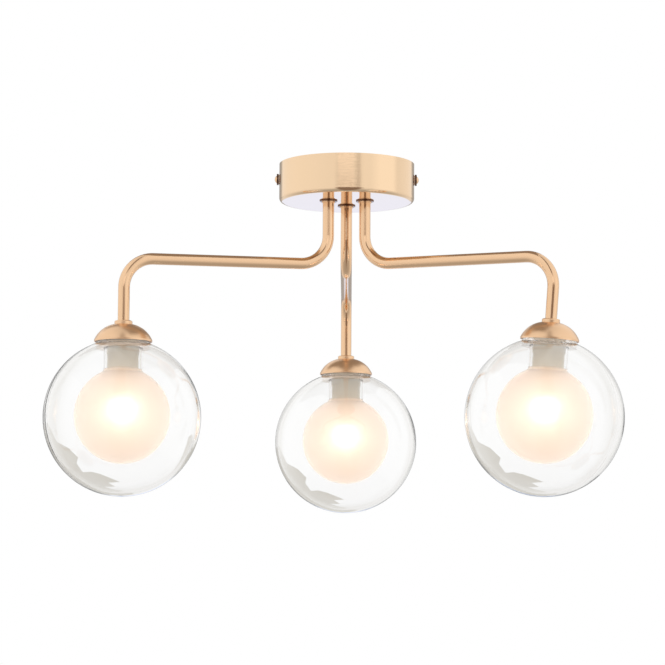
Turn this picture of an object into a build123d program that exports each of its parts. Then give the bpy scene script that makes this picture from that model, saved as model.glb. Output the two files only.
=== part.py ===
"""Semi flush ceiling light: a cup canopy, three bent tube arms and three double glass globes.

Frame, in millimetres.  The origin is where the canopy's axis meets the ceiling.  +Z points up into the
ceiling, so the light hangs down -Z.  +X runs along the two side screws, and -Y points at the viewer.

Each arm has two frames of its own:
  arm frame    origin on the ceiling above the arm's hole, x out along the run, y up, in the arm's plane.
  shade frame  origin at the outer globe's centre, z back up the stem, x outwards in the arm's plane.
"""
import os
from math import cos, sin, tan, radians, sqrt, pi
from build123d import *

# ---------------------------------------------------------------- driving dimensions
# canopy
canopy_radius = 60.0
canopy_height = 34.0
canopy_wall = 1.0
canopy_corner = 3.5

# bracket against the ceiling, inside the canopy
strap_width = 22.0
strap_thickness = 2.0
ear_length = 23.0
ear_inset = 1.5                 # from the canopy's inner wall to the ear's outer face
bracket_bend = 2.0              # outside radius of the folded corners
ceiling_slot_spacing = 52.0
ceiling_slot_length = 11.0
ceiling_slot_width = 4.6

# rubber bush in the bracket's cable hole
bush_barrel_radius = 8.0
bush_flange_radius = 10.0
bush_flange_thickness = 1.6
bush_bore_radius = 5.0

# side screws that hold the canopy on the bracket
side_screw_radius = 2.0
side_screw_depth = 13.7         # axis below the ceiling
side_screw_length = 6.5         # shank under the head
side_screw_flange_radius = 5.0
side_screw_flange_thickness = 1.6
side_screw_dome_radius = 3.4
side_screw_dome_height = 1.9
side_screw_grips = 18
side_screw_grip_radius = 0.3
side_screw_point = 0.5          # chamfer at the shank's end
side_washer_radius = 4.2
side_washer_thickness = 0.6

# terminal block and its fixing screw
block_length = 30.0             # along Y
block_width = 16.0              # along X
block_height = 12.0
block_corner = 1.0
block_ear_gap = 2.5             # between the block and the bracket's ear
port_pitch = 9.0
port_bore_radius = 0.9
bar_width = 3.0
bar_gap = 2.4                   # between the live bar and the neutral bar
bar_cover = 1.2                 # wall left past the bars' ends
bar_fit = 0.1                   # clearance of a bar in its channel
supply_port_radius = 1.6
supply_port_depth = 5.0
block_screw_radius = 1.5
block_screw_head_radius = 2.8
block_screw_head_thickness = 1.8
block_screw_slot_width = 0.8
block_screw_slot_depth = 0.8
block_screw_inset = 3.4         # from the block's outer face

# earth screw on the bracket
earth_ear_gap = 13.5            # from the bracket's other ear to the screw's axis
earth_screw_radius = 2.0
earth_head_radius = 3.6
earth_head_thickness = 2.4
earth_slot_width = 0.9
earth_slot_depth = 1.0
earth_washer_width = 10.0
earth_washer_thickness = 1.0

# arm tube
hole_circle_radius = 18.6       # the arm holes in the canopy's floor
tube_radius = 5.0
tube_wall = 1.0
bend_radius = 26.0
run_depth = 91.0                # ceiling to the run's centreline, on the hole's axis
arm_reach = 185.5               # hole's axis to the stem's axis
run_droop = 1.3                 # degrees
stem_length = 137.6             # run's corner to the globe's centre
thread_end = 3.0                # tube left standing above its lock nut
tube_fit = 0.06                 # radial clearance of the tube in the canopy's hole
thread_fit = 0.05               # radial clearance of every smooth stand-in for a thread
clearance_gap = 0.3             # radial clearance of a plain hole round a screw
overcut = 1.0                   # how far a cutting solid runs past the face that it cuts

# collar, lock washer and lock nut that clamp the arm to the canopy's floor
collar_radius = 7.9
collar_thickness = 0.9
collar_step_radius = 5.9
collar_step_height = 1.2
collar_edge = 0.25              # rounding of the flange's outer edges
collar_step_edge = 0.4
lock_washer_radius = 8.4
lock_washer_thickness = 0.8
lock_washer_teeth = 12
lock_washer_notch_depth = 1.2
lock_washer_notch_width = 1.6
lock_nut_across_flats = 14.0
lock_nut_thickness = 3.0
lock_nut_corner_cut = 0.4

# flex through the arm, and its lead inside the canopy
flex_radius = 1.4
flex_above_tube = 2.0
lead_height = 8.0               # centreline below the ceiling where the leads run level
lead_rise = 9.0                 # straight rise above the arm's flex
lead_approach = 6.0             # straight run into the block
lead_corner_share = 0.45        # share of a corner's shorter run that its bend takes

# shade cap and the ring nut on it
cap_radius = 24.9
cap_wall = 1.0
cap_gap = 2.2                   # from the globe's shoulder to the cap's rim
cap_lip = 1.5
cap_height = 15.0
cap_top_radius = 8.6
cap_crown_radius = 23.0
ring_collar_radius = 7.7
ring_collar_height = 3.3
ring_collar_edge = 1.15

# outer globe, clear
globe_radius = 67.5
globe_wall = 3.0
globe_seat_radius = 24.2        # flat seat round the globe's mouth
globe_seat_thickness = 3.2
neck_gap = 0.5                  # between the globe's mouth and the inner globe's neck

# inner globe, frosted, with its clear neck
inner_radius = 41.1
inner_wall = 2.0
inner_rise = 1.7                # its centre above the outer globe's centre
neck_radius = 16.5
neck_wall = 2.1
neck_flange_thickness = 2.0
neck_flange_inset = 0.8         # the flange's edge inside the seat's
neck_fillet = 3.0

# gasket and threaded carrier that hold the glass
gasket_thickness = 1.5
gasket_inset = 0.2              # its bore outside the neck's
seat_inset = 1.4                # the gasket's and the carrier flange's edge inside the seat's
carrier_gap = 0.35              # between the carrier's thread and the neck
carrier_flange_thickness = 1.5
carrier_boss_radius = 8.0
carrier_thread_length = 12.0
carrier_thread_depth = 0.7
carrier_skirt = 3.0             # carrier's end below the lampholder's
carrier_seat = 2.0              # floor under the tube's end

# lampholder, two-pin, 9 mm between pins
holder_radius = 11.0
holder_length = 25.0
holder_edge = 0.8               # chamfer round its mouth
holder_fit = 0.3
pin_pitch = 9.0
pin_width = 2.6
pin_thickness = 0.8
pin_length = 8.0
pin_fit = 0.06
contact_leaf = 0.4
contact_length = 10.2
contact_fold = 0.8              # closed end above the pin
chamber_side_gap = 0.5          # on each side of a contact's width
chamber_face_gap = 0.2          # on each face of a contact
socket_depth = 6.0              # recess for the lamp's pinched end
socket_gap = 0.4

# lamp capsule
lamp_radius = 7.4
lamp_length = 48.0
pinch_width = 14.4
pinch_thickness = 5.0
pinch_length = 14.0
pinch_corner = 1.0

# hole's angle, how far the arm is swivelled from it, and how far the stem leans in, all in degrees
arms = {
    "left": {"hole": 210.0, "swivel": -10.7, "lean": 0.0},
    "right": {"hole": 330.0, "swivel": 0.0, "lean": 4.5},
    "rear": {"hole": 90.0, "swivel": -0.4, "lean": 0.0},
}
sides = {"left": -1, "right": 1}

# ---------------------------------------------------------------- sizes that follow
canopy_inner_radius = canopy_radius - canopy_wall
canopy_floor = -canopy_height + canopy_wall
ear_face = canopy_inner_radius - ear_inset
lock_nut_base = canopy_floor + lock_washer_thickness
tube_top = lock_nut_base + lock_nut_thickness + thread_end
flex_top = tube_top + flex_above_tube
tube_hole_radius = tube_radius + tube_fit
thread_bore_radius = tube_radius + thread_fit
block_outer_x = ear_face - strap_thickness - block_ear_gap
block_inner_x = block_outer_x - block_width
block_centre_x = block_outer_x - block_width / 2
earth_screw_x = earth_ear_gap + strap_thickness - ear_face
block_base = -strap_thickness - block_height
block_screw_x = block_outer_x - block_screw_inset
block_screw_y = port_pitch / 2

# heights above the outer globe's centre
cap_rim_height = sqrt(globe_radius ** 2 - cap_radius ** 2) + cap_gap
globe_seat_height = sqrt(globe_radius ** 2 - globe_seat_radius ** 2)
cap_top = cap_rim_height + cap_height
cap_ceiling = cap_top - cap_wall
neck_top = globe_seat_height + neck_flange_thickness
gasket_top = neck_top + gasket_thickness
carrier_flange_top = gasket_top + carrier_flange_thickness
tube_end = gasket_top + carrier_seat
neck_bore_radius = neck_radius - neck_wall
carrier_radius = neck_bore_radius - carrier_gap
holder_bottom = gasket_top - holder_length
carrier_bottom = holder_bottom - carrier_skirt
lamp_seat = holder_bottom + socket_depth
lamp_bottom = lamp_seat - lamp_length
pinch_bottom = lamp_seat - pinch_length


# ---------------------------------------------------------------- helpers
def rod(radius, bottom, top):
    """A cylinder on the Z axis between two heights."""
    lift = Pos(0, 0, bottom)
    return lift * Cylinder(radius, top - bottom, align=(Align.CENTER, Align.CENTER, Align.MIN))


def tube(outer, inner, bottom, top):
    """A ring on the Z axis between two heights."""
    return rod(outer, bottom, top) - rod(inner, bottom - overcut, top + overcut)


def block(x_size, y_size, bottom, top):
    """A box centred on the Z axis between two heights."""
    lift = Pos(0, 0, bottom)
    return lift * Box(x_size, y_size, top - bottom, align=(Align.CENTER, Align.CENTER, Align.MIN))


def along_x(shape, x, y, z):
    """Turns a shape built up the Z axis to point along +X from a place."""
    return Pos(x, y, z) * Rot(0, 90, 0) * shape


def rims(shape):
    """A turned shape's circular edges, smallest first."""
    return shape.edges().filter_by(GeomType.CIRCLE).sort_by(SortBy.RADIUS)


def save(name, shape):
    """Writes one sub-part's STEP file."""
    shape.label = name
    export_step(shape, f"parts/{name}.step")


def hole_place(arm):
    """Plan position of an arm's hole."""
    angle = radians(arm["hole"])
    return hole_circle_radius * cos(angle), hole_circle_radius * sin(angle)


def arm_plane(arm):
    """The arm frame."""
    x, y = hole_place(arm)
    azimuth = radians(arm["hole"] + arm["swivel"])
    out = Vector(cos(azimuth), sin(azimuth), 0)
    return Plane(origin=(x, y, 0), x_dir=out, z_dir=out.cross(Vector(0, 0, 1)))


def stem_points(arm):
    """Corners of the tube's centreline in the arm frame, and the stem's direction downwards."""
    lean = radians(arm["lean"])
    down = Vector(-sin(lean), -cos(lean))
    corner = Vector(arm_reach, -run_depth - arm_reach * tan(radians(run_droop)))
    return corner, down


def shade_plane(arm):
    """The shade frame."""
    corner, down = stem_points(arm)
    centre = corner + down * stem_length
    plane = arm_plane(arm)
    origin = plane.from_local_coords((centre.X, centre.Y, 0))
    up = plane.from_local_coords((centre.X - down.X, centre.Y - down.Y, 0)) - origin
    out = plane.from_local_coords((centre.X - down.Y, centre.Y + down.X, 0)) - origin
    return Plane(origin=origin, x_dir=out, z_dir=up)


def tube_path(arm, top, end):
    """The tube's centreline from a height over the hole to a height over the globe's centre."""
    corner, down = stem_points(arm)
    foot = corner + down * (stem_length - end)
    points = [(0, top), (0, -run_depth), (corner.X, corner.Y), (foot.X, foot.Y)]
    return arm_plane(arm) * FilletPolyline(*points, radius=bend_radius)


def swept(path, outer, inner=0.0):
    """Sweeps a disc or a ring along a path of straight runs and tangent arcs."""
    start = Plane(origin=path @ 0, z_dir=path % 0)
    section = Circle(outer) - Circle(inner) if inner else Circle(outer)
    return sweep(start * section, path=path)


# ---------------------------------------------------------------- canopy and what it holds
def canopy_cup():
    """The cup, open at the ceiling, with three arm holes and two side holes."""
    body = rod(canopy_radius, -canopy_height, 0)
    body = fillet(body.edges().sort_by(Axis.Z)[0], canopy_corner)
    cavity = rod(canopy_inner_radius, canopy_floor, overcut)
    cavity = fillet(cavity.edges().sort_by(Axis.Z)[0], canopy_corner - canopy_wall)
    body -= cavity
    for arm in arms.values():
        x, y = hole_place(arm)
        body -= Pos(x, y) * rod(tube_hole_radius, -canopy_height - overcut, canopy_floor + overcut)
    side_hole = rod(side_screw_radius + clearance_gap, -canopy_radius - overcut, canopy_radius + overcut)
    return body - along_x(side_hole, 0, 0, -side_screw_depth)


def mounting_bracket():
    """A folded steel strap that is screwed to the ceiling and takes the two side screws."""
    strap = block(2 * ear_face, strap_width, -strap_thickness, 0)
    for side in sides.values():
        ear = block(strap_thickness, strap_width, -ear_length, 0)
        strap += Pos(side * (ear_face - strap_thickness / 2), 0, 0) * ear
    folds = strap.edges().filter_by(Axis.Y).group_by(Axis.Z)[-1]
    strap = fillet(folds, bracket_bend)
    ear_corners = strap.edges().filter_by(Axis.X).group_by(Axis.Z)[0]
    strap = fillet(ear_corners, strap_width / 4)
    below = -strap_thickness - overcut
    strap -= rod(bush_barrel_radius, below, overcut)
    slot = extrude(SlotOverall(ceiling_slot_length, ceiling_slot_width), strap_thickness + 2 * overcut)
    for side in sides.values():
        strap -= Pos(side * ceiling_slot_spacing / 2, 0, below) * slot
    strap -= Pos(earth_screw_x, 0) * rod(earth_screw_radius + thread_fit, below, overcut)
    strap -= Pos(block_screw_x, block_screw_y) * rod(block_screw_radius + thread_fit, below, overcut)
    ear_bore = rod(side_screw_radius + thread_fit, -canopy_radius, canopy_radius)
    return strap - along_x(ear_bore, 0, 0, -side_screw_depth)


def cable_bush():
    """The rubber bush that lines the bracket's cable hole."""
    barrel = tube(bush_barrel_radius, bush_bore_radius, -strap_thickness, 0)
    flange_base = -strap_thickness - bush_flange_thickness
    flange = tube(bush_flange_radius, bush_bore_radius, flange_base, -strap_thickness)
    rounded = fillet(rims(flange).group_by(Axis.Z)[0], bush_flange_thickness / 3)
    return barrel + rounded


def bar_height(row):
    """Height of the live bar's centre (row 1) or the neutral bar's (row -1)."""
    return -lead_height + row * (bar_gap + bar_width) / 2


def bar_shape(row, gap):
    """The live bar (row 1) or the neutral bar (row -1), grown by a gap for its own channel."""
    length = block_length - supply_port_depth - bar_cover - 2 * bar_fit + 2 * gap
    width = bar_width + 2 * gap
    centre_y = (supply_port_depth - bar_cover) / 2
    return Pos(block_centre_x, centre_y, bar_height(row)) * Box(width, length, width)


def terminal_block():
    """A push-in block: a port in its inner face for each arm's lead, two for the supply in its -Y end."""
    body = Pos(block_centre_x) * block(block_width, block_length, block_base, -strap_thickness)
    body = fillet(body.edges().filter_by(Axis.Z), block_corner)
    for row in (-1, 1):
        body -= bar_shape(row, bar_fit)
        for port in (-1, 0, 1):
            entry = rod(port_bore_radius, 0, block_width / 2)
            body -= along_x(entry, block_inner_x, port * port_pitch, bar_height(row) - row * bar_width / 4)
        supply = Rot(90, 0, 0) * rod(supply_port_radius, block_length / 2 - supply_port_depth, block_length)
        body -= Pos(block_centre_x, 0, bar_height(row)) * supply
    return body - Pos(block_screw_x, block_screw_y) * block_screw_shape(bar_fit)


def terminal_bars():
    """The live and the neutral brass bar inside the block, one solid each."""
    return Compound(children=[bar_shape(row, 0).solid() for row in (-1, 1)])


def block_screw_shape(gap):
    """The screw that holds the block to the strap, grown by a gap for its own hole."""
    head_top = block_base + block_screw_head_thickness
    head = rod(block_screw_head_radius + gap, block_base - gap, head_top)
    return head + rod(block_screw_radius + gap, block_base, -strap_thickness)


def block_screw():
    """A cheese-head screw up through the block into the strap."""
    shank = rod(block_screw_radius, -strap_thickness, 0)
    slot_length = 2 * block_screw_head_radius + overcut
    slot = Pos(0, 0, block_base) * Box(slot_length, block_screw_slot_width, 2 * block_screw_slot_depth)
    return Pos(block_screw_x, block_screw_y) * (block_screw_shape(0) + shank - slot)


def earth_screw():
    """The earth screw and its square washer under the strap, one solid each."""
    washer_base = -strap_thickness - earth_washer_thickness
    washer = block(earth_washer_width, earth_washer_width, washer_base, -strap_thickness)
    washer -= rod(earth_screw_radius + clearance_gap, washer_base - overcut, 0)
    head_base = washer_base - earth_head_thickness
    screw = rod(earth_head_radius, head_base, washer_base) + rod(earth_screw_radius, washer_base, 0)
    slot_length = 2 * earth_head_radius + overcut
    screw -= Pos(0, 0, head_base) * Box(slot_length, earth_slot_width, 2 * earth_slot_depth)
    return Pos(earth_screw_x) * Compound(children=[screw.solid(), washer.solid()])


def side_screw(side):
    """A domed thumb screw with a gripped flange, head outside the canopy."""
    head_base = canopy_radius + side_washer_thickness
    flange = rod(side_screw_flange_radius, 0, side_screw_flange_thickness)
    for index in range(side_screw_grips):
        grip = rod(side_screw_grip_radius, -overcut, side_screw_flange_thickness + overcut)
        notch = Pos(side_screw_flange_radius, 0, 0) * grip
        flange -= Rot(0, 0, index * 360 / side_screw_grips) * notch
    crown_radius = (side_screw_dome_radius ** 2 + side_screw_dome_height ** 2) / (2 * side_screw_dome_height)
    ball = Pos(0, 0, side_screw_flange_thickness + side_screw_dome_height - crown_radius) * Sphere(crown_radius)
    dome_top = side_screw_flange_thickness + side_screw_dome_height + overcut
    dome = ball & rod(side_screw_dome_radius, side_screw_flange_thickness / 2, dome_top)
    shank = rod(side_screw_radius, -side_screw_length, side_screw_flange_thickness / 2)
    shank = chamfer(shank.edges().sort_by(Axis.Z)[0], side_screw_point)
    screw = flange + dome + shank
    return Pos(side * head_base, 0, -side_screw_depth) * Rot(0, side * 90, 0) * screw


def side_washer(side):
    """The white nylon washer between the canopy's wall and a side screw's flange."""
    bore_radius = side_screw_radius + clearance_gap
    ring = tube(side_washer_radius, bore_radius, canopy_radius, canopy_radius + side_washer_thickness)
    placed = Pos(0, 0, -side_screw_depth) * Rot(0, side * 90, 0) * ring
    return placed - rod(canopy_radius, -canopy_height, 0)


# ---------------------------------------------------------------- leads inside the canopy
# Each lead rises off its arm's flex, leans over, lies level and runs straight into its own port.  A bow
# is a corner of the level part: its share of the way, and how far it strays to the side.
port_rows = {"left": 0, "right": -1, "rear": 1}
lead_bows = {"left": [(0.34, 2.6), (0.68, 2.2)], "right": [], "rear": [(0.48, -2.0)]}


def lead_points(name):
    """The lead's corners: its rise, its lean-over, the bows of its level part and its port."""
    x, y = hole_place(arms[name])
    port = Vector(block_inner_x, port_rows[name] * port_pitch, -lead_height)
    approach = port - Vector(lead_approach, 0, 0)
    rise = Vector(x, y, flex_top + lead_rise)
    over = (approach - Vector(x, y, -lead_height)).normalized()
    level = Vector(x, y, -lead_height) + over * (-lead_height - rise.Z)
    sideways = over.cross(Vector(0, 0, 1))
    bows = [level + (approach - level) * share + sideways * bow for share, bow in lead_bows[name]]
    return [Vector(x, y, flex_top), rise, level, *bows, approach, port]


def canopy_lead(name):
    """One arm's lead from its flex to its port."""
    points = lead_points(name)
    edges = []
    here = points[0]
    for before, corner, after in zip(points, points[1:], points[2:]):
        into = (corner - before).normalized()
        onward = (after - corner).normalized()
        turn = radians(into.get_angle(onward))
        cut = lead_corner_share * min((corner - before).length, (after - corner).length)
        print(f"lead {name}: radius {cut / tan(turn / 2):.1f}")
        start = corner - into * cut
        end = corner + onward * cut
        middle_pull = (onward - into).normalized()
        sagitta = cut / tan(turn / 2) * (1 / cos(turn / 2) - 1)
        edges.append(Line(here, start))
        edges.append(ThreePointArc(start, corner + middle_pull * sagitta, end))
        here = end
    edges.append(Line(here, points[-1]))
    path = Wire(edges)
    lead = swept(path, flex_radius)
    print(f"lead {name}: volume over section times length {lead.volume / (pi * flex_radius ** 2 * path.length):.4f}")
    return lead


# ---------------------------------------------------------------- arm
def arm_tube(arm):
    """The bent tube from above its lock nut to its seat in the shade carrier."""
    return swept(tube_path(arm, tube_top, tube_end), tube_radius, tube_radius - tube_wall)


def arm_flex(arm):
    """The round flex down the middle of the tube to the lampholder."""
    return swept(tube_path(arm, flex_top, gasket_top), flex_radius)


def arm_collar():
    """The flanged collar under the canopy."""
    flange_base = -canopy_height - collar_thickness
    flange = tube(collar_radius, thread_bore_radius, flange_base, -canopy_height)
    flange = fillet(rims(flange)[-2:], collar_edge)
    step = tube(collar_step_radius, thread_bore_radius, flange_base - collar_step_height, flange_base)
    low_rim = rims(step).group_by(Axis.Z)[0].sort_by(SortBy.RADIUS)[-1]
    return flange + fillet(low_rim, collar_step_edge)


def lock_washer():
    """The toothed washer on the canopy's floor."""
    ring = tube(lock_washer_radius, thread_bore_radius, canopy_floor, lock_nut_base)
    for index in range(lock_washer_teeth):
        notch_size = (2 * lock_washer_notch_depth, lock_washer_notch_width, 4 * lock_washer_thickness)
        notch = Pos(lock_washer_radius, 0, canopy_floor) * Box(*notch_size)
        ring -= Rot(0, 0, index * 360 / lock_washer_teeth) * notch
    return ring


def lock_nut():
    """The hexagon nut that clamps the arm."""
    hexagon = RegularPolygon(lock_nut_across_flats / 2, 6, major_radius=False)
    nut_top = lock_nut_base + lock_nut_thickness
    nut = Pos(0, 0, lock_nut_base) * extrude(hexagon, lock_nut_thickness)
    nut &= rod(lock_nut_across_flats / 2 / cos(pi / 6) - lock_nut_corner_cut, lock_nut_base, nut_top)
    return nut - rod(thread_bore_radius, lock_nut_base - overcut, nut_top + overcut)


# ---------------------------------------------------------------- shade, in the shade frame
def shade_cap():
    """The domed metal cap over the glass, open below, bored for the tube."""
    lip_top = (cap_radius, cap_rim_height + cap_lip)
    crown_edge = (cap_top_radius, cap_top)
    outline = [
        Line((0, cap_rim_height), (cap_radius, cap_rim_height)),
        Line((cap_radius, cap_rim_height), lip_top),
        RadiusArc(lip_top, crown_edge, -cap_crown_radius),
        Line(crown_edge, (0, cap_top)),
        Line((0, cap_top), (0, cap_rim_height)),
    ]
    dome = revolve(Plane.XZ * make_face(outline), Axis.Z)
    dome = offset(dome, amount=-cap_wall, openings=dome.faces().sort_by(Axis.Z)[0])
    return dome - rod(thread_bore_radius, cap_rim_height, cap_top + overcut)


def ring_collar():
    """The ring nut on top of the cap."""
    ring = tube(ring_collar_radius, thread_bore_radius, cap_top, cap_top + ring_collar_height)
    top_rim = rims(ring).group_by(Axis.Z)[-1].sort_by(SortBy.RADIUS)[-1]
    return fillet(top_rim, ring_collar_edge)


def shade_carrier():
    """The threaded carrier: it screws onto the tube, traps the cap and takes the glass's neck."""
    body = rod(carrier_boss_radius, carrier_flange_top, cap_ceiling)
    body += rod(globe_seat_radius - seat_inset, gasket_top, carrier_flange_top)
    body += rod(carrier_radius - carrier_thread_depth, carrier_bottom, gasket_top)
    body += rod(carrier_radius, gasket_top - carrier_thread_length, gasket_top)
    body -= rod(holder_radius + holder_fit, carrier_bottom - overcut, gasket_top)
    body -= rod(thread_bore_radius, tube_end, cap_ceiling + overcut)
    return body - rod(tube_radius - tube_wall, gasket_top - overcut, tube_end + overcut)


def lampholder():
    """The ceramic two-pin lampholder inside the carrier."""
    body = rod(holder_radius, holder_bottom, gasket_top)
    body = chamfer(body.edges().sort_by(Axis.Z)[0], holder_edge)
    socket_size = (pinch_width + 2 * socket_gap, pinch_thickness + 2 * socket_gap)
    body -= block(*socket_size, holder_bottom - overcut, lamp_seat)
    chamber_size = (pin_width + 2 * chamber_side_gap, contact_width() + 2 * chamber_face_gap)
    chamber = block(*chamber_size, lamp_seat - overcut, lamp_seat + contact_length)
    for side in (-1, 1):
        body -= Pos(side * pin_pitch / 2) * chamber
    return body


def contact_width():
    """Thickness of a pair of contact leaves with the pin between them."""
    return pin_thickness + 2 * pin_fit + 2 * contact_leaf


def lampholder_contacts():
    """Two folded brass contacts, one solid for each pin."""
    clips = []
    for side in (-1, 1):
        clip = block(pin_width, contact_width(), lamp_seat, lamp_seat + contact_length)
        fold_base = lamp_seat + contact_length - contact_fold
        clip -= block(pin_width + overcut, pin_thickness + 2 * pin_fit, lamp_seat - overcut, fold_base)
        clips.append((Pos(side * pin_pitch / 2) * clip).solid())
    return Compound(children=clips)


def lamp_capsule():
    """The capsule lamp's glass: a round-ended bulb and its pinched end."""
    bulb = rod(lamp_radius, lamp_bottom + lamp_radius, pinch_bottom + pinch_length / 2 - lamp_radius / 2)
    bulb += Pos(0, 0, lamp_bottom + lamp_radius) * Sphere(lamp_radius)
    shoulder = rims(bulb).sort_by(Axis.Z)[-1]
    bulb = fillet(shoulder, lamp_radius / 2)
    pinch = block(pinch_width, pinch_thickness, pinch_bottom, lamp_seat)
    return bulb + fillet(pinch.edges().filter_by(Axis.Z), pinch_corner)


def lamp_pins():
    """The lamp's two looped pins, one solid each."""
    pins = []
    for side in (-1, 1):
        straight = lamp_seat + pin_length - pin_width / 2
        pin = block(pin_width, pin_thickness, lamp_seat, straight)
        pin += Pos(0, 0, straight) * Rot(90, 0, 0) * Cylinder(pin_width / 2, pin_thickness)
        loop_width = pin_width - 2 * pin_thickness
        loop = block(loop_width, pin_thickness + overcut, lamp_seat, straight)
        pins.append((Pos(side * pin_pitch / 2) * (pin - loop)).solid())
    return Compound(children=pins)


def shade_gasket():
    """The silicone ring between the carrier's flange and the glass."""
    return tube(globe_seat_radius - seat_inset, neck_bore_radius + gasket_inset, neck_top, gasket_top)


def cut_ball(radius, top):
    """A ball round the shade frame's origin, cut flat at a height."""
    return Sphere(radius) - rod(radius, top, radius + overcut)


def outer_globe():
    """The clear outer globe: a shell with a flat seat at its top, bored for the inner globe's neck."""
    glass = cut_ball(globe_radius, globe_seat_height)
    glass -= cut_ball(globe_radius - globe_wall, globe_seat_height - globe_seat_thickness)
    return glass - rod(neck_radius + neck_gap, 0, globe_seat_height + overcut)


def inner_globe():
    """The inner globe: a frosted ball on a clear neck, hung by its flange on the outer globe's seat."""
    glass = Pos(0, 0, inner_rise) * Sphere(inner_radius) + rod(neck_radius, inner_rise, globe_seat_height)
    joint = rims(glass).sort_by(Axis.Z)[-2]
    glass = fillet(joint, neck_fillet)
    glass += rod(globe_seat_radius - neck_flange_inset, globe_seat_height, neck_top)
    glass -= Pos(0, 0, inner_rise) * Sphere(inner_radius - inner_wall)
    return glass - rod(neck_bore_radius, inner_rise, neck_top + overcut)


# ---------------------------------------------------------------- writing the sub-parts
os.makedirs("parts", exist_ok=True)

save("canopy_cup", canopy_cup())
save("mounting_bracket", mounting_bracket())
save("cable_bush", cable_bush())
save("terminal_block", terminal_block())
save("terminal_bars", terminal_bars())
save("block_screw", block_screw())
save("earth_screw", earth_screw())
for side_name, side_sign in sides.items():
    save(f"canopy_screw_{side_name}", side_screw(side_sign))
    save(f"canopy_screw_washer_{side_name}", side_washer(side_sign))

above_hole = {"arm_collar": arm_collar(), "lock_washer": lock_washer(), "lock_nut": lock_nut()}
on_stem = {
    "shade_cap": shade_cap(),
    "ring_collar": ring_collar(),
    "shade_carrier": shade_carrier(),
    "lampholder": lampholder(),
    "lampholder_contacts": lampholder_contacts(),
    "lamp_capsule": lamp_capsule(),
    "lamp_pins": lamp_pins(),
    "shade_gasket": shade_gasket(),
    "outer_globe": outer_globe(),
    "inner_globe": inner_globe(),
}
for arm_name, arm in arms.items():
    save(f"canopy_lead_{arm_name}", canopy_lead(arm_name))
    save(f"arm_tube_{arm_name}", arm_tube(arm))
    save(f"arm_flex_{arm_name}", arm_flex(arm))
    over_hole = Pos(*hole_place(arm))
    for piece, shape in above_hole.items():
        save(f"{piece}_{arm_name}", over_hole * shape)
    shade_place = shade_plane(arm).location
    for piece, shape in on_stem.items():
        save(f"{piece}_{arm_name}", shade_place * shape)
    centre = shade_plane(arm)
    print(f"{arm_name}: globe centre {centre.origin}, up {centre.z_dir}, hole {hole_place(arm)}")
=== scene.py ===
# %% [markdown]
# # A semi flush ceiling light in brushed copper and double glass
# The light hangs from a cup canopy on three bent tubes. Each tube ends in a small domed cap, under it a clear
# glass globe, and inside that a frosted globe with a lit lamp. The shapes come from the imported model, in
# metres, and this script gives them their finishes, their light and the photograph's viewpoint.

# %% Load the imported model
from math import radians, sin, cos

import bmesh
import bpy
from mathutils import Matrix, Vector


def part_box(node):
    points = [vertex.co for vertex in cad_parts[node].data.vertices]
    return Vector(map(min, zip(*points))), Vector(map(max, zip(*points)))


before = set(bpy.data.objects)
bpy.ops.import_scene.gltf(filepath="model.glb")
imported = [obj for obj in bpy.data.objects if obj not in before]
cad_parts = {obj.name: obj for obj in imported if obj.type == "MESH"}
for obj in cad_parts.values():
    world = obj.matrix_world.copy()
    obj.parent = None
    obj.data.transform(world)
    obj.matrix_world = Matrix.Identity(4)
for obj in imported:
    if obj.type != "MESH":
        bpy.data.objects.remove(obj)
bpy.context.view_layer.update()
arm_names = ("left", "right", "rear")

# %% [markdown]
# ## The camera
# The photographer stood 2.3 m away and a little below the light, looking up by 6.6 degrees, with a long lens.
# The camera's three axes are worked out from that pitch and a small roll, and become the columns of its
# matrix. The picture is square, so the sensor is as high as it is wide.

# %% Camera
camera_place = Vector((-0.0119, -2.3103, -0.4178))
camera_pitch = radians(6.600)
camera_roll = radians(0.336)
picture_width = 665
focal_pixels = 2630.3
sensor_width = 36.0

forward = Vector((0, cos(camera_pitch), sin(camera_pitch)))
level_right = forward.cross(Vector((0, 0, 1))).normalized()
level_up = level_right.cross(forward)
camera_right = cos(camera_roll) * level_right + sin(camera_roll) * level_up
camera_up = cos(camera_roll) * level_up - sin(camera_roll) * level_right

lens = bpy.data.cameras.new("camera")
lens.sensor_fit = "HORIZONTAL"
lens.sensor_width = sensor_width
lens.lens = focal_pixels * sensor_width / picture_width
lens.clip_start = 0.05
lens.clip_end = 60.0
camera = bpy.data.objects.new("camera", lens)
bpy.context.scene.collection.objects.link(camera)
turned = Matrix((camera_right, camera_up, -forward)).transposed()
camera.matrix_world = Matrix.Translation(camera_place) @ turned.to_4x4()
bpy.context.scene.camera = camera
print("lens:", round(lens.lens, 1), "mm")

# %% [markdown]
# ## Writing shaders as sums
# A material is a graph of nodes. Written one node at a time it hides its own idea, so a small class wraps a
# socket and lets plain arithmetic add the Math nodes. Everything else goes through one method, `node`.


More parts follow.
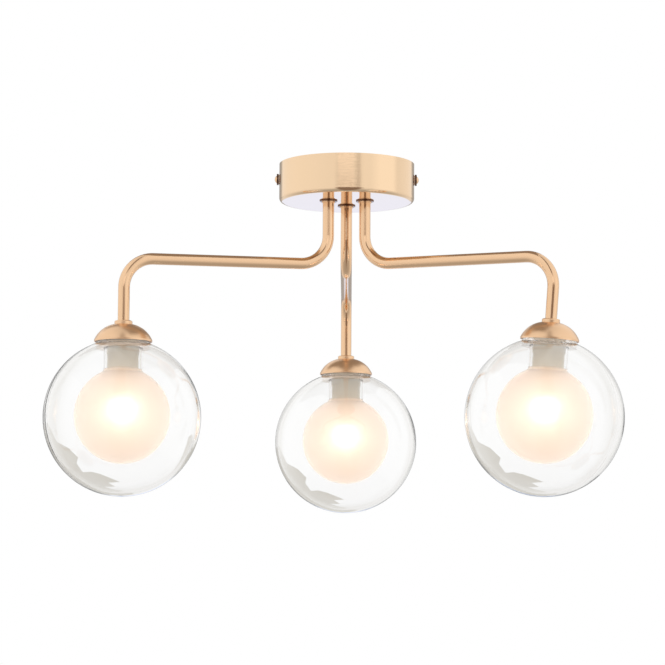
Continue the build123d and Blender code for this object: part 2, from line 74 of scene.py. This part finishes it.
# %% Shader helpers
class Reading:
    """One output of a shader graph, which can be added, multiplied and compared like a number."""

    def __init__(self, graph, socket):
        self.graph = graph
        self.socket = socket

    def maths(self, operation, first, second=0.0):
        return self.graph.node("ShaderNodeMath", {"operation": operation}, {0: first, 1: second})

    def __add__(self, other):
        return self.maths("ADD", self, other)

    __radd__ = __add__

    def __sub__(self, other):
        return self.maths("SUBTRACT", self, other)

    def __rsub__(self, other):
        return self.maths("SUBTRACT", other, self)

    def __mul__(self, other):
        return self.maths("MULTIPLY", self, other)

    __rmul__ = __mul__

    def __truediv__(self, other):
        return self.maths("DIVIDE", self, other)

    def __pow__(self, other):
        return self.maths("POWER", self, other)

    def above(self, start, end):
        """0 below start, 1 past end, and a soft step between them. It falls where end is below start."""
        ends = {"Value": self, "From Min": start, "From Max": end}
        return self.graph.node("ShaderNodeMapRange", {"interpolation_type": "SMOOTHSTEP"}, ends)

    def between(self, low, high, soft):
        """1 between two values, with soft edges."""
        return self.above(low - soft, low + soft) * (1 - self.above(high - soft, high + soft))


class Graph:
    """A shader graph under construction."""

    def __init__(self, tree):
        self.tree = tree
        tree.nodes.clear()

    def node(self, kind, settings=None, inputs=None, output=0):
        made = self.tree.nodes.new(kind)
        for name, setting in (settings or {}).items():
            setattr(made, name, setting)
        for name, value in (inputs or {}).items():
            if isinstance(value, Reading):
                self.tree.links.new(value.socket, made.inputs[name])
            else:
                made.inputs[name].default_value = value
        return Reading(self, made.outputs[output])

    def mix(self, share, first, second):
        """A colour between two colours."""
        colours = {0: share, 6: first, 7: second}
        return self.node("ShaderNodeMix", {"data_type": "RGBA", "clamp_factor": True}, colours, output=2)

    def place(self, centre=(0, 0, 0), turn=(0, 0, 0)):
        """The point on the piece, measured from a centre and turned to its axis."""
        here = self.node("ShaderNodeTexCoord", output="Object")
        moved = self.node("ShaderNodeVectorMath", {"operation": "SUBTRACT"}, {0: here, 1: centre})
        return self.node("ShaderNodeMapping", None, {"Vector": moved, "Rotation": turn})

    def parts(self, vector):
        """A vector's x, y and z."""
        split = self.node("ShaderNodeSeparateXYZ", None, {0: vector})
        return [Reading(self, split.socket.node.outputs[index]) for index in range(3)]

    def vector(self, x, y, z):
        return self.node("ShaderNodeCombineXYZ", None, {0: x, 1: y, 2: z})

    def noise(self, vector, scale, detail=2.0, rough=0.5):
        wanted = {"Vector": vector, "Scale": scale, "Detail": detail, "Roughness": rough}
        return self.node("ShaderNodeTexNoise", None, wanted)

    def bump(self, height, strength, distance):
        wanted = {"Height": height, "Strength": strength, "Distance": distance}
        return self.node("ShaderNodeBump", None, wanted)

    def surface(self, **inputs):
        """A Principled shader with its sockets named in words."""
        named = {name.replace("_", " "): value for name, value in inputs.items()}
        return self.node("ShaderNodeBsdfPrincipled", None, named)

    def times(self, first, second):
        """Two colours multiplied."""
        return self.node("ShaderNodeVectorMath", {"operation": "MULTIPLY"}, {0: first, 1: second})

    def ramp(self, position, stops):
        """A colour that changes along a value from 0 to 1. Each stop is a place and a colour."""
        made = self.node("ShaderNodeValToRGB", None, {0: position})
        band = made.socket.node.color_ramp
        band.interpolation = "LINEAR"
        for index, (place, colour) in enumerate(stops):
            stop = band.elements[index] if index < 2 else band.elements.new(1.0)
            stop.position = place
            stop.color = tuple(colour) + (1,)
        return made

    def finish(self, kind, shader):
        end = self.tree.nodes.new(kind)
        self.tree.links.new(shader.socket, end.inputs["Surface"])


def new_material(name):
    material = bpy.data.materials.new(name)
    material.use_nodes = True
    return material, Graph(material.node_tree)


# %% [markdown]
# ## The studio
# Metal and glass show what stands round them, so the studio matters as much as the metal. It is a pale
# room: white behind the light, soft boxes at both sides, and dimmer places between them that draw the brown
# lines down the tubes. It is made in the world's own shader, by the direction that a ray leaves in, as
# an angle round the light and an angle above the horizon. The camera itself sees plain white.

# %% Studio
scene = bpy.context.scene
scene.view_settings.view_transform = "Standard"
scene.view_settings.look = "None"
scene.cycles.max_bounces = 32
scene.cycles.transmission_bounces = 32
scene.cycles.glossy_bounces = 8

world = bpy.data.worlds.new("studio")
world.use_nodes = True
scene.world = world
studio = Graph(world.node_tree)
direction = studio.node("ShaderNodeTexCoord", output="Generated")
east, north, rise = studio.parts(direction)
# the angle round from the viewer's side: 0 in front, +90 at the right, 180 behind
round_angle = studio.node("ShaderNodeMath", {"operation": "ARCTAN2"}, {0: east, 1: 0.0 - north})
behind_angle = studio.node("ShaderNodeMath", {"operation": "ARCTAN2"}, {0: east, 1: north})
up_angle = studio.node("ShaderNodeMath", {"operation": "ARCSINE"}, {0: rise})


def studio_patch(angle, left, right, low, high, soft, soft_top=None):
    """1 inside a window of the studio, its edges and their softness given in degrees."""
    across = angle.between(radians(left), radians(right), radians(soft))
    top_soft = radians(soft if soft_top is None else soft_top)
    above_low = up_angle.above(radians(low - soft), radians(low + soft))
    return across * above_low * (1 - up_angle.above(radians(high) - top_soft, radians(high) + top_soft))


def grey(level):
    """A plain grey of a brightness, which may go past 1 for a soft box."""
    return (level, level, level)


# brightness by the angle above the horizon, and a factor by the angle round, both in degrees
by_height = [(-90, grey(0.44)), (-50, grey(0.55)), (-25, grey(0.84)), (-8, grey(0.98)), (14, grey(1.03)),
             (38, grey(1.05)), (58, grey(1.0)), (72, grey(0.88)), (90, grey(0.78))]
by_side = [(-180, grey(0.44)), (-152, grey(0.42)), (-142, grey(1.0)), (-100, grey(1.02)),
           (-57, grey(0.99)), (-30, grey(0.96)), (0, grey(1.0)), (40, grey(0.98)), (58, grey(1.10)),
           (86, grey(1.10)), (96, grey(0.92)), (125, grey(0.98)), (142, grey(1.0)), (152, grey(0.42)),
           (180, grey(0.44))]
dark_figure = (0.27, 0.21, 0.18, 1)
dark_strip = (0.24, 0.20, 0.18, 1)
dark_bar = (0.85, 0.84, 0.84, 1)
white_panel = (1.18, 1.16, 1.16, 1)
dark_back = (0.26, 0.20, 0.16, 1)
lavender_box = (0.93, 1.07, 1.39, 1)
pale_grey = (0.88, 0.87, 0.85, 1)
plain_white = (1, 1, 1, 1)

height_share = up_angle / radians(180) + 0.5
side_share = round_angle / radians(360) + 0.5
heights = studio.ramp(height_share, [(place / 180 + 0.5, colour) for place, colour in by_height])
sides = studio.ramp(side_share, [(place / 360 + 0.5, colour) for place, colour in by_side])
walls = up_angle.between(radians(-12), radians(24), radians(6))
sides = studio.mix(walls, plain_white, sides)

# what the metal and the glass mirror: each patch lies over the ones before it
mirrored = studio.times(heights, sides)
for colour, patch in (
    (white_panel, studio_patch(round_angle, left=-15, right=13, low=8, high=40, soft=2)),
    (dark_bar, studio_patch(round_angle, left=17, right=23, low=8, high=40, soft=2)),
    (dark_figure, studio_patch(round_angle, left=-18, right=24, low=-120, high=9.0, soft=5, soft_top=0.5)),
    (dark_strip, studio_patch(round_angle, left=-11, right=11, low=24, high=76, soft=5)),
    (dark_back, studio_patch(behind_angle, left=-6, right=6, low=20, high=86, soft=4)),
    (lavender_box, studio_patch(behind_angle, left=-7, right=7, low=-14, high=-7, soft=1.5)),
):
    mirrored = studio.mix(patch, mirrored, colour)

# what the bent rays meet behind the glass: a pale grey screen with a white middle
through = plain_white
for colour, patch in (
    (pale_grey, studio_patch(behind_angle, left=-40, right=40, low=-40, high=45, soft=6)),
    (plain_white, studio_patch(behind_angle, left=-10, right=10, low=-6, high=14, soft=2.5)),
):
    through = studio.mix(patch, through, colour)

bent = studio.node("ShaderNodeLightPath", output="Is Transmission Ray")
seen = studio.node("ShaderNodeLightPath", output="Is Camera Ray")
room = studio.mix(bent, mirrored, through)
shown = studio.mix(seen, room, plain_white)
studio.finish("ShaderNodeOutputWorld", studio.node("ShaderNodeBackground", None, {"Color": shown}))

# %% [markdown]
# ## A flag over the light
# Every cap is dark on the side that faces the middle of the light. A dim board above the canopy does that.
# It was traced from the three caps at once: each dark pixel's reflected ray was followed up to one height.
# It shows in reflections alone, and neither the camera nor the light meets it.


# %% Boards round the light
def board(name, outline, colour):
    """A flat board that neither the camera nor the lit surfaces meet."""
    shape = bmesh.new()
    shape.faces.new([shape.verts.new(corner) for corner in outline])
    mesh = bpy.data.meshes.new(name)
    shape.to_mesh(mesh)
    shape.free()
    made = bpy.data.objects.new(name, mesh)
    scene.collection.objects.link(made)
    paint, graph = new_material(f"{name}_paint")
    graph.finish("ShaderNodeOutputMaterial", graph.node("ShaderNodeEmission", None, {"Color": colour}))
    mesh.materials.append(paint)
    made.visible_camera = False
    made.visible_diffuse = False
    made.visible_shadow = False
    return made


flag_corners = [(0.05, -0.30), (0.20, -0.05), (0.22, 0.15), (0.34, 0.30), (0.33, 0.62), (0.50, 1.30),
                (0.15, 1.30), (-0.05, 0.66), (-0.64, 0.58), (-0.60, 0.44), (-0.30, 0.20), (-0.20, 0.0),
                (-0.08, -0.16)]
flag_height = 0.35
flag_colour = (0.31, 0.26, 0.22, 1)
flag = board("flag", [(x, y, flag_height) for x, y in flag_corners], flag_colour)
flag.visible_transmission = False

# %% [markdown]
# ## The floor
# The light hangs 3.6 m above a pale floor, which the long lens doesn't see from the front. It shows in the
# views from above, and reflections leave it out.

# %% Floor
floor_drop = 3.6
floor_half = 4.0
floor_shape = bmesh.new()
bmesh.ops.create_grid(floor_shape, x_segments=1, y_segments=1, size=floor_half)
bmesh.ops.translate(floor_shape, verts=floor_shape.verts, vec=(0, 0, -floor_drop))
floor_mesh = bpy.data.meshes.new("floor")
floor_shape.to_mesh(floor_mesh)
floor_shape.free()
floor = bpy.data.objects.new("floor", floor_mesh)
scene.collection.objects.link(floor)
floor_paint, graph = new_material("floor_paint")
mottle = graph.noise(graph.place(), 3.0, detail=4.0)
pale = graph.mix(mottle, (0.86, 0.86, 0.87, 1), (0.9, 0.9, 0.91, 1))
graph.finish("ShaderNodeOutputMaterial", graph.surface(Base_Color=pale, Roughness=0.7))
floor_mesh.materials.append(floor_paint)
floor.visible_glossy = False

# %% [markdown]
# ## Brushed copper
# The metal is a satin copper plate under clear lacquer. Brushing leaves fine lines: round the axis on the
# spun canopy and caps, along the length on the drawn tubes. The lines are a noise that is stretched hard in
# one direction, and they go into the roughness and a very shallow bump rather than into deep colour. The
# canopy's plate is a little paler than the rest.

# %% Copper
copper_light = (0.860, 0.580, 0.362, 1)
copper_deep = (0.830, 0.550, 0.334, 1)
pale_light = (0.880, 0.650, 0.430, 1)
pale_deep = (0.855, 0.620, 0.400, 1)
# painted shadow: the brown of the shade in the gap where a flange sits against the canopy
painted_shadow_brown = (0.20, 0.11, 0.07, 1)
line_depth = 0.0002
mirror_roughness = 0.07
# how softly a band of painted shadow ends, as a difference of two squared heights
edge_blur = 1e-6


def copper_finish(graph, lines, blotches, roughness, bump_strength=0.06, dark=None, pale=False):
    """The copper plate's shader from its brushed lines and its slow patches, with painted shadow in brown
    where dark is 1.
    """
    deep, light = (pale_deep, pale_light) if pale else (copper_deep, copper_light)
    colour = graph.mix(blotches * 0.6 + lines * 0.4, deep, light)
    # painted shadow: where dark is 1 the copper is painted brown for shade
    if dark is not None:
        colour = graph.mix(dark, colour, painted_shadow_brown)
    rough = roughness + (lines - 0.5) * 0.10 + (blotches - 0.5) * 0.05
    relief = graph.bump(lines, bump_strength, line_depth)
    return graph.surface(Base_Color=colour, Metallic=1.0, Roughness=rough, Normal=relief)


def spun_copper(name, centre, turn, roughness, mirror_below=None, painted_shadow_band=None, pale=False):
    """Brushed round an axis: the lines follow the distance from it and the height along it.

    Below one height the face is a plain mirror. A painted shadow lies between two heights on both sides of
    the
    centre: a brown band for the shade in the gap where a flange sits against the canopy.
    """
    material, graph = new_material(name)
    place = graph.place(centre, turn)
    x, y, z = graph.parts(place)
    distance = (x * x + y * y) ** 0.5
    lines = graph.noise(graph.vector(distance, z, x * 0.02), 2600.0, detail=3.0)
    blotches = graph.noise(place, 45.0, detail=3.0)
    if mirror_below is not None:
        face = z.above(mirror_below + 0.0002, mirror_below)
        roughness = roughness * (1 - face) + mirror_roughness * face
        lines = lines * (1 - face) + 0.5 * face
    # painted shadow: a brown band between two heights, for the shade where a flange meets the canopy
    dark = None
    if painted_shadow_band is not None:
        near, far = painted_shadow_band[0] ** 2, painted_shadow_band[1] ** 2
        dark = (z * z).above(near, near + edge_blur)
        dark = dark * (z * z).above(far + edge_blur, far)
    shader = copper_finish(graph, lines, blotches, roughness, dark=dark, pale=pale)
    graph.finish("ShaderNodeOutputMaterial", shader)
    return material


def drawn_copper(name, run_height, run_turn, roughness):
    """Brushed along a tube: upright on its risers, level on its run."""
    material, graph = new_material(name)
    place = graph.place(turn=run_turn)
    x, y, z = graph.parts(place)
    upright = graph.noise(graph.vector(x, y, z * 0.01), 2400.0, detail=3.0)
    level = graph.noise(graph.vector(x * 0.01, y, z), 2400.0, detail=3.0)
    on_run = z.between(run_height - 0.012, run_height + 0.012, 0.006)
    lines = upright * (1 - on_run) + level * on_run
    blotches = graph.noise(place, 40.0, detail=3.0)
    graph.finish("ShaderNodeOutputMaterial", copper_finish(graph, lines, blotches, roughness, 0.03))
    return material


# %% Where each shade stands
canopy_height = 0.034
inner_globe_radius = 0.0411
# heights above the ball's centre, along the stem: where the neck's flange begins, and where the lamp fades
flange_start = 0.0600
glow_end = 0.006
glow_gone = 0.013


def ball_centre(arm):
    """Centre of the frosted ball, which is the widest and lowest part of the inner globe."""
    low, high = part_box(f"inner_globe_{arm}")
    return Vector(((low.x + high.x) / 2, (low.y + high.y) / 2, low.z + inner_globe_radius))


def lean(arm):
    """The stem's lean, from the ball's centre and the middle of the tube's foot above it."""
    low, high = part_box(f"ring_collar_{arm}")
    return ((low + high) / 2 - ball_centre(arm)).normalized()


centres = {arm: ball_centre(arm) for arm in arm_names}
stem_turns = {arm: lean(arm).rotation_difference(Vector((0, 0, 1))).to_euler() for arm in arm_names}
for arm in arm_names:
    print(arm, "ball at", [round(v, 4) for v in centres[arm]], "lean", [round(v, 3) for v in lean(arm)])

# %% [markdown]
# ## Torn paper behind the globes
# Low on its left side each globe shows a dim ragged patch. A torn sheet stands there, just behind each globe,
# where the bent rays of the wall meet it and the straight ones through the middle don't. Its upper edge
# is the patch's edge, followed through the glass.

# %% Paper behind the globes
paper_gap = 0.10
paper_colour = (0.62, 0.59, 0.53, 1)
paper_edge = [
    (-0.0925, -0.0013), (-0.0780, -0.0100), (-0.0700, -0.0195), (-0.0616, -0.0215), (-0.0530, -0.0240),
    (-0.0425, -0.0331), (-0.0452, -0.0400), (-0.0398, -0.0503), (-0.0300, -0.0475), (-0.0208, -0.0493),
    (-0.0120, -0.0530), (-0.0010, -0.0582), (-0.0130, -0.0600), (-0.0060, -0.0665), (-0.0180, -0.0690),
    (-0.0109, -0.0741), (0.0020, -0.0790), (0.0000, -0.0850), (0.0182, -0.1000), (0.0182, -0.1167),
    (-0.1150, -0.1167), (-0.1150, -0.0013),
]
for arm in arm_names:
    globe = (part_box(f"outer_globe_{arm}")[0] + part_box(f"outer_globe_{arm}")[1]) / 2
    sight = (globe - camera_place) / (globe.y - camera_place.y)
    middle = Vector((globe.x + sight.x * paper_gap, globe.y + paper_gap, centres[arm].z))
    sheet = board(f"paper_{arm}", [middle + Vector((x, 0, z)) for x, z in paper_edge], paper_colour)
    sheet.visible_glossy = False

# %% [markdown]
# ## Glass
# The outer globe is clear glass 3 mm thick. Its wall is real, so its rim bends the dim places of the
# studio into thin grey lines. The inner globe is one piece of glass too: acid etched on the ball, clear on
# the neck. The etching is roughness, and a little warm light of its own stands for the light that
# scatters many times inside the wall, and for the light that the neck's wall pipes up into its flange.

# %% Clear and frosted glass
glass_index = 1.47


def let_lamps_through(graph, glass):
    """Lets light from lamps pass the glass without bending, so that what is behind it is lit."""
    clear = graph.node("ShaderNodeBsdfTransparent", None, {"Color": (0.97, 0.97, 0.97, 1)})
    is_shadow = graph.node("ShaderNodeLightPath", output="Is Shadow Ray")
    return graph.node("ShaderNodeMixShader", None, {0: is_shadow, 1: glass, 2: clear})


def clear_glass():
    """Clear blown glass with a slow ripple and a few small seeds."""
    material, graph = new_material("clear_globe_glass")
    place = graph.place()
    ripple = graph.noise(place, 22.0, detail=1.0)
    seeds = graph.noise(place, 260.0, detail=2.0)
    smear = seeds.above(0.60, 0.80)
    tint = graph.mix(ripple, (0.985, 0.985, 0.98, 1), (1, 1, 1, 1))
    relief = graph.bump(ripple, 0.12, 0.002)
    glass = graph.surface(Base_Color=tint, Roughness=0.01 * smear, IOR=glass_index,
                          Transmission_Weight=1.0, Normal=relief)
    graph.finish("ShaderNodeOutputMaterial", let_lamps_through(graph, glass))
    return material


def etched_glass(arm):
    """The inner globe: etched on the ball, clear on the neck, lit along the neck's flange."""
    material, graph = new_material(f"etched_ball_glass_{arm}")
    place = graph.place(tuple(centres[arm]))
    radius = graph.node("ShaderNodeVectorMath", {"operation": "LENGTH"}, {0: place}, output="Value")
    ball = radius.above(inner_globe_radius + 0.0022, inner_globe_radius + 0.0004)
    grain = graph.noise(place, 900.0, detail=3.0)
    cloud = graph.noise(place, 30.0, detail=2.0)
    warm = graph.mix(cloud, (1.0, 0.882, 0.782, 1), (1.0, 0.892, 0.802, 1))
    tint = graph.mix(ball, (0.99, 0.99, 0.985, 1), warm)
    rough = ball * (0.42 + 0.12 * grain)
    along = graph.parts(graph.place(tuple(centres[arm]), tuple(stem_turns[arm])))[2]
    piped = graph.mix(along.above(flange_start, flange_start + 0.0012), (0, 0, 0, 1), (1.3, 1.1, 0.95, 1))
    glow = graph.mix(ball, piped, warm)
    glass = graph.surface(Base_Color=tint, Roughness=rough, IOR=glass_index, Transmission_Weight=1.0,
                          Emission_Color=glow, Emission_Strength=0.04,
                          Normal=graph.bump(grain * ball, 0.15, 0.0002))
    graph.finish("ShaderNodeOutputMaterial", let_lamps_through(graph, glass))
    return material


def lamp_glass(arm):
    """The lamp glows at its round tip, in the middle of the frosted ball, and fades towards its pinch."""
    material, graph = new_material(f"lit_lamp_glass_{arm}")
    speckle = graph.noise(graph.place(), 500.0, detail=2.0)
    light = graph.mix(speckle, (1.0, 0.88, 0.72, 1), (1.0, 0.91, 0.78, 1))
    along = graph.parts(graph.place(tuple(centres[arm]), tuple(stem_turns[arm])))[2]
    light = graph.mix(along.above(glow_end, glow_gone), light, (0.05, 0.04, 0.03, 1))
    lamp = graph.surface(Base_Color=(0.9, 0.86, 0.8, 1), Roughness=0.35, Emission_Color=light,
                         Emission_Strength=5.4)
    graph.finish("ShaderNodeOutputMaterial", lamp)
    return material


# %% [markdown]
# ## The plain parts
# Plated steel, brass, nylon, rubber, ceramic and plastic are all one recipe with other numbers: a colour
# that wanders a little, a grain that sets the roughness, and a shallow relief of the same grain.

# %% Plain finishes
def plain_finish(name, light, dark, roughness, metallic=0.0):
    """A colour that wanders between two, with a fine grain in its gloss and its relief."""
    material, graph = new_material(name)
    place = graph.place()
    grain = graph.noise(place, 700.0, detail=3.0)
    patches = graph.noise(place, 60.0, detail=2.0)
    colour = graph.mix(patches * 0.7 + grain * 0.3, dark + (1,), light + (1,))
    rough = roughness + (grain - 0.5) * 0.15
    surface = graph.surface(Base_Color=colour, Metallic=metallic, Roughness=rough,
                            Normal=graph.bump(grain, 0.05, 0.0003))
    graph.finish("ShaderNodeOutputMaterial", surface)
    return material


finishes = {
    "zinc_steel": plain_finish("zinc_plate", (0.66, 0.66, 0.64), (0.48, 0.49, 0.50), 0.34, metallic=1.0),
    "brass": plain_finish("turned_brass", (0.90, 0.72, 0.36), (0.78, 0.58, 0.26), 0.26, metallic=1.0),
    "white_nylon": plain_finish("white_nylon", (0.86, 0.85, 0.82), (0.78, 0.77, 0.74), 0.5),
    "black_rubber": plain_finish("black_rubber", (0.05, 0.05, 0.05), (0.025, 0.025, 0.025), 0.7),
    "flex": plain_finish("flex_sheath", (0.80, 0.79, 0.76), (0.70, 0.69, 0.66), 0.45),
    "carrier": plain_finish("moulded_carrier", (0.95, 0.84, 0.68), (0.88, 0.77, 0.61), 0.42),
    "ceramic": plain_finish("glazed_ceramic", (0.82, 0.79, 0.73), (0.74, 0.71, 0.65), 0.28),
    "silicone": plain_finish("clear_silicone", (0.86, 0.83, 0.78), (0.78, 0.75, 0.70), 0.5),
    "pin_wire": plain_finish("lamp_pin_wire", (0.62, 0.60, 0.58), (0.45, 0.44, 0.43), 0.3, metallic=1.0),
    "clear_glass": clear_glass(),
}

# %% Put each finish on its nodes
# the run's height at its two ends, and the way each run points, seen from above
run_drop = 0.091
run_low = 0.095
screw_drop = 0.0137
run_turns = {"left": radians(-199.3), "right": radians(-330.0), "rear": radians(-90.0)}
canopy_copper = spun_copper("spun_canopy_copper", (0, 0, 0), (0, 0, 0), 0.10,
                            mirror_below=-canopy_height + 0.0001, pale=True)
# painted shadow: a brown band on each side screw's flange, where it meets the canopy
screw_copper = spun_copper("turned_screw_copper", (0, 0, -screw_drop), (0, radians(90), 0), 0.2,
                           painted_shadow_band=(0.0606, 0.0622))
# painted shadow: a brown band on each collar's flange, just under the canopy
collar_copper = spun_copper("turned_collar_copper", (0, 0, 0), (0, 0, 0), 0.2,
                            painted_shadow_band=(canopy_height, canopy_height + 0.0010))
own_finishes = {"canopy_cup": canopy_copper}
for arm in arm_names:
    turn = (0, 0, run_turns[arm])
    tube_copper = drawn_copper(f"drawn_tube_copper_{arm}", -(run_drop + run_low) / 2, turn, 0.15)
    cap_copper = spun_copper(f"spun_cap_copper_{arm}", tuple(centres[arm]), tuple(stem_turns[arm]), 0.30)
    own_finishes[f"arm_tube_{arm}"] = tube_copper
    own_finishes[f"arm_collar_{arm}"] = collar_copper
    own_finishes[f"shade_cap_{arm}"] = cap_copper
    own_finishes[f"ring_collar_{arm}"] = cap_copper
    own_finishes[f"inner_globe_{arm}"] = etched_glass(arm)
    own_finishes[f"lamp_capsule_{arm}"] = lamp_glass(arm)

for name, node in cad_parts.items():
    for slot in node.material_slots:
        finish = slot.material.name.split(".")[0]
        slot.material = own_finishes.get(name) or finishes.get(finish) or screw_copper
